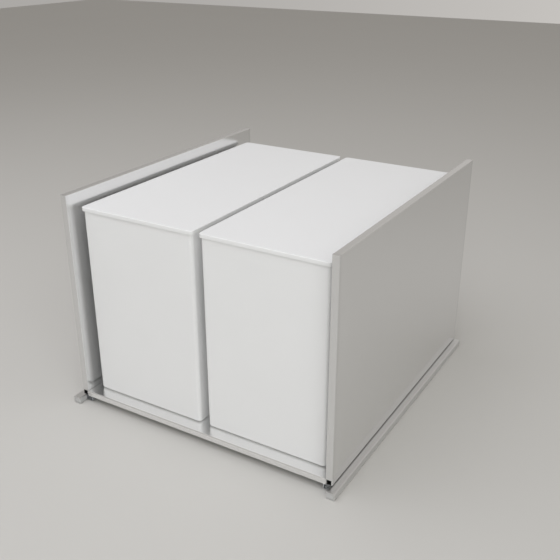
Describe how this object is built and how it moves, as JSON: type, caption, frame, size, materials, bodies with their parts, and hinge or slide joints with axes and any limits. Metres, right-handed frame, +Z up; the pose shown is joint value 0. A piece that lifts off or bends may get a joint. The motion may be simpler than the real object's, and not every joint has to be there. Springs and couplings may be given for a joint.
{
  "type": "pull-out laundry hamper",
  "caption": "Cabinet pull-out on low ball runners: tall double-wall sides and a sheet tray carry lidded, lift-out laundry bins side by side.",
  "frame": {"origin": "on the cabinet floor, midway between the rails and midway along them", "axes": "+Z up, +X to the right as seen from the front, the drawer pulls out towards -Y"},
  "size_m": [0.467, 0.496, 0.3455],
  "materials": {
    "rail_steel": "satin light grey",
    "runner_steel": "zinc-plated",
    "nose_plastic": "satin light grey",
    "cage_plastic": "natural",
    "ball_steel": "polished",
    "buffer_rubber": "matte",
    "side_paint": "semi-gloss light grey",
    "tray_paint": "semi-gloss light grey",
    "cap_plastic": "semi-gloss light grey",
    "socket_plastic": "matte black",
    "locator_plastic": "matte",
    "fastener_steel": "bright",
    "bin_plastic": "satin white",
    "lid_plastic": "satin white"
  },
  "bodies": {
    "rails": {"rail_left": "rail_steel", "rail_right": "rail_steel", "rear_buffer_left": "buffer_rubber", "rear_buffer_right": "buffer_rubber"},
    "drawer": {"drawer_rail_left": "runner_steel", "drawer_rail_right": "runner_steel", "side_left": "side_paint", "side_right": "side_paint", "side_front_cap_left": "cap_plastic", "side_front_cap_right": "cap_plastic", "side_rear_cap_left": "cap_plastic", "side_rear_cap_right": "cap_plastic", "front_socket_left": "socket_plastic", "front_socket_right": "socket_plastic", "tray": "tray_paint", "back_panel": "tray_paint", "tray_rivets_left": "fastener_steel", "tray_rivets_right": "fastener_steel", "back_rivets_left": "fastener_steel", "back_rivets_right": "fastener_steel", "tray_screws_left": "fastener_steel", "tray_screws_right": "fastener_steel", "bin_locators": "locator_plastic"},
    "middle_left": {"middle_rail_left": "runner_steel", "middle_rail_nose_left": "nose_plastic"},
    "outer_bearing_left": {"outer_cage_left": "cage_plastic", "outer_balls_left": "ball_steel"},
    "inner_bearing_left": {"inner_cage_left": "cage_plastic", "inner_balls_left": "ball_steel"},
    "middle_right": {"middle_rail_right": "runner_steel", "middle_rail_nose_right": "nose_plastic"},
    "outer_bearing_right": {"outer_cage_right": "cage_plastic", "outer_balls_right": "ball_steel"},
    "inner_bearing_right": {"inner_cage_right": "cage_plastic", "inner_balls_right": "ball_steel"},
    "bin_left": {"bin_left": "bin_plastic"},
    "lid_left": {"lid_left": "lid_plastic"},
    "bin_right": {"bin_right": "bin_plastic"},
    "lid_right": {"lid_right": "lid_plastic"}
  },
  "joints": [
    {"name": "drawer_slide", "type": "slide", "parent": "rails", "child": "drawer", "axis": [0, -1, 0], "range_m": [0, 0.47]},
    {"name": "middle_slide_left", "type": "slide", "parent": "rails", "child": "middle_left", "axis": [0, -1, 0], "range_m": [0, 0.235]},
    {"name": "outer_bearing_slide_left", "type": "slide", "parent": "rails", "child": "outer_bearing_left", "axis": [0, -1, 0], "range_m": [0, 0.1175]},
    {"name": "inner_bearing_slide_left", "type": "slide", "parent": "rails", "child": "inner_bearing_left", "axis": [0, -1, 0], "range_m": [0, 0.3525]},
    {"name": "middle_slide_right", "type": "slide", "parent": "rails", "child": "middle_right", "axis": [0, -1, 0], "range_m": [0, 0.235]},
    {"name": "outer_bearing_slide_right", "type": "slide", "parent": "rails", "child": "outer_bearing_right", "axis": [0, -1, 0], "range_m": [0, 0.1175]},
    {"name": "inner_bearing_slide_right", "type": "slide", "parent": "rails", "child": "inner_bearing_right", "axis": [0, -1, 0], "range_m": [0, 0.3525]},
    {"name": "bin_lift_left", "type": "slide", "parent": "drawer", "child": "bin_left", "axis": [0, 0, 1], "range_m": [0, 0.34]},
    {"name": "lid_lift_left", "type": "slide", "parent": "bin_left", "child": "lid_left", "axis": [0, 0, 1], "range_m": [0, 0.12]},
    {"name": "bin_lift_right", "type": "slide", "parent": "drawer", "child": "bin_right", "axis": [0, 0, 1], "range_m": [0, 0.34]},
    {"name": "lid_lift_right", "type": "slide", "parent": "bin_right", "child": "lid_right", "axis": [0, 0, 1], "range_m": [0, 0.12]}
  ],
  "couplings": [
    {"joint": "middle_slide_left", "follows": "drawer_slide", "ratio": 0.5},
    {"joint": "outer_bearing_slide_left", "follows": "drawer_slide", "ratio": 0.25},
    {"joint": "inner_bearing_slide_left", "follows": "drawer_slide", "ratio": 0.75},
    {"joint": "middle_slide_right", "follows": "drawer_slide", "ratio": 0.5},
    {"joint": "outer_bearing_slide_right", "follows": "drawer_slide", "ratio": 0.25},
    {"joint": "inner_bearing_slide_right", "follows": "drawer_slide", "ratio": 0.75}
  ]
}
